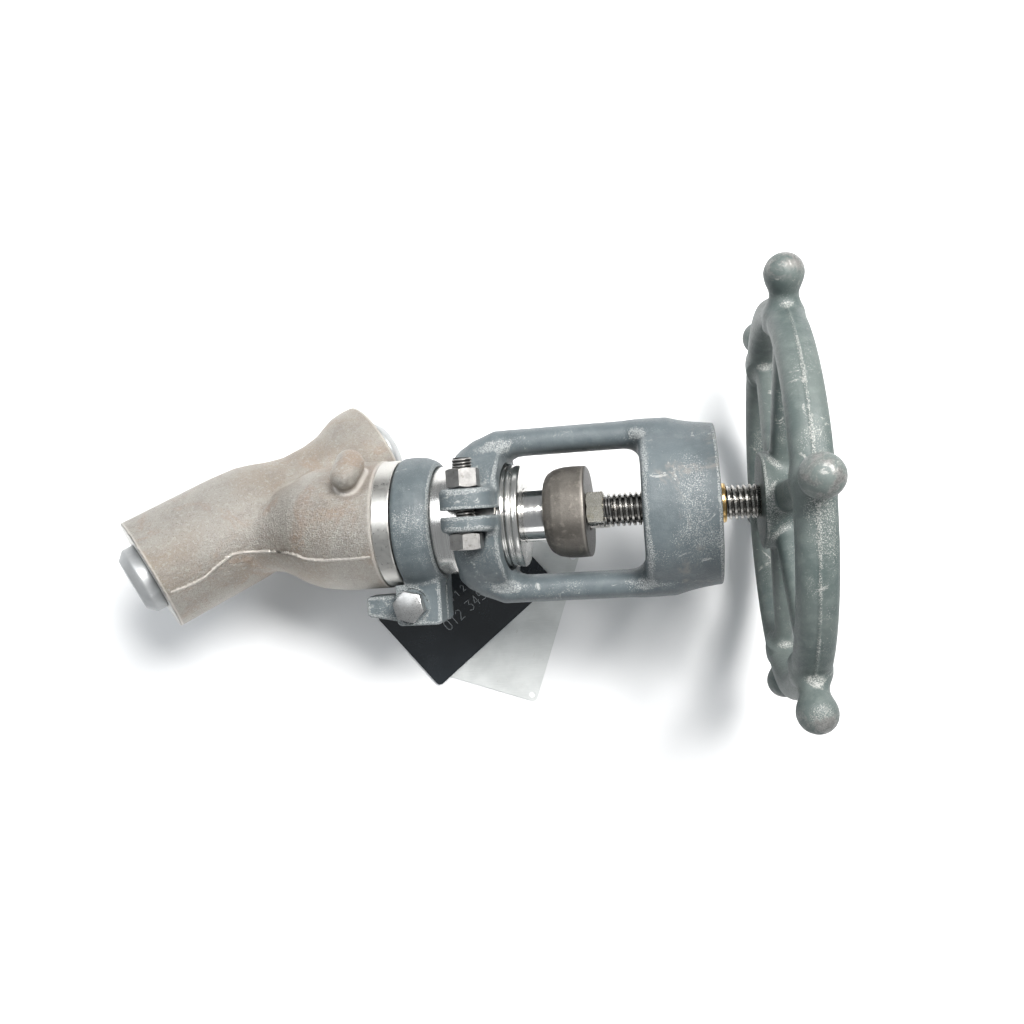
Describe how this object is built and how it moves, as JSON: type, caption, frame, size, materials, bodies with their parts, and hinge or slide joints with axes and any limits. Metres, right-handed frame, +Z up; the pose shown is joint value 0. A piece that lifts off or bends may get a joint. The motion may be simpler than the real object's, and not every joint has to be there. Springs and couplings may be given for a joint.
{
  "type": "needle valve",
  "caption": "Y-pattern screw-down stop valve with forged stainless body, bolted-on yoke, rising stem, packed gland and knobbed handwheel, lying on a table.",
  "frame": {"origin": "middle of the overall box at the height of the table it lies on", "axes": "+Z up from the table; +X level, the way the stem points in plan from body to handwheel; the stem climbs 9.84 degrees from +X"},
  "size_m": [0.4862, 0.2932, 0.3058],
  "materials": {
    "forged_stainless": "sandblasted forging, warm grey with brown heat tint",
    "turned_stainless": "fine turned and polished",
    "hard_facing": "ground and lapped",
    "graphite": null,
    "dark_forging": "dark brown-grey forged steel, turned face",
    "bolt_steel": "dull plated steel",
    "plated_steel": "zinc plated, slightly yellow",
    "blue_grey_paint": "semi-matt paint over a forging, rubbed in places",
    "green_grey_paint": "semi-matt paint over a casting, rubbed in places",
    "bronze": "turned bronze",
    "stem_steel": "oiled steel, bright crests",
    "grey_plastic": "satin push-in protector",
    "plate_aluminium": "satin sheet",
    "black_plate": "semi-gloss black sheet"
  },
  "bodies": {
    "body": {"valve_body": "forged_stainless", "seat_ring": "hard_facing", "bonnet_gasket": "graphite", "bonnet": "turned_stainless", "packing_ring_1": "graphite", "packing_ring_2": "graphite", "packing_ring_3": "graphite", "gland": "turned_stainless", "gland_flange": "dark_forging", "gland_stud_near": "bolt_steel", "gland_stud_far": "bolt_steel", "gland_nut_near": "plated_steel", "gland_nut_far": "plated_steel", "locking_collar": "blue_grey_paint", "collar_screw": "bolt_steel", "yoke": "blue_grey_paint", "yoke_bolt": "bolt_steel", "yoke_nut": "bolt_steel", "yoke_bushing": "bronze", "inlet_protector": "grey_plastic", "outlet_protector": "grey_plastic", "data_plate_silver": "plate_aluminium", "data_plate_black": "black_plate"},
    "disc_body": {"disc": "hard_facing", "disc_nut": "turned_stainless"},
    "stem_and_wheel": {"stem": "stem_steel", "handwheel": "green_grey_paint", "wheel_washer": "plated_steel", "wheel_nut": "plated_steel"}
  },
  "joints": [
    {"name": "disc_lift", "type": "slide", "parent": "body", "child": "disc_body", "axis": [0.9853, 0, 0.1708], "range_m": [-0.01601, 0.0031]},
    {"name": "handwheel_turn", "type": "hinge", "parent": "disc_body", "child": "stem_and_wheel", "pos_m": [0.20722, 0.0053, 0.15298], "axis": [0.9853, 0, 0.1708], "range_deg": [-1586, 297]}
  ],
  "couplings": [
    {"joint": "disc_lift", "follows": "handwheel_turn", "m_per_rad": 0.00057751}
  ]
}
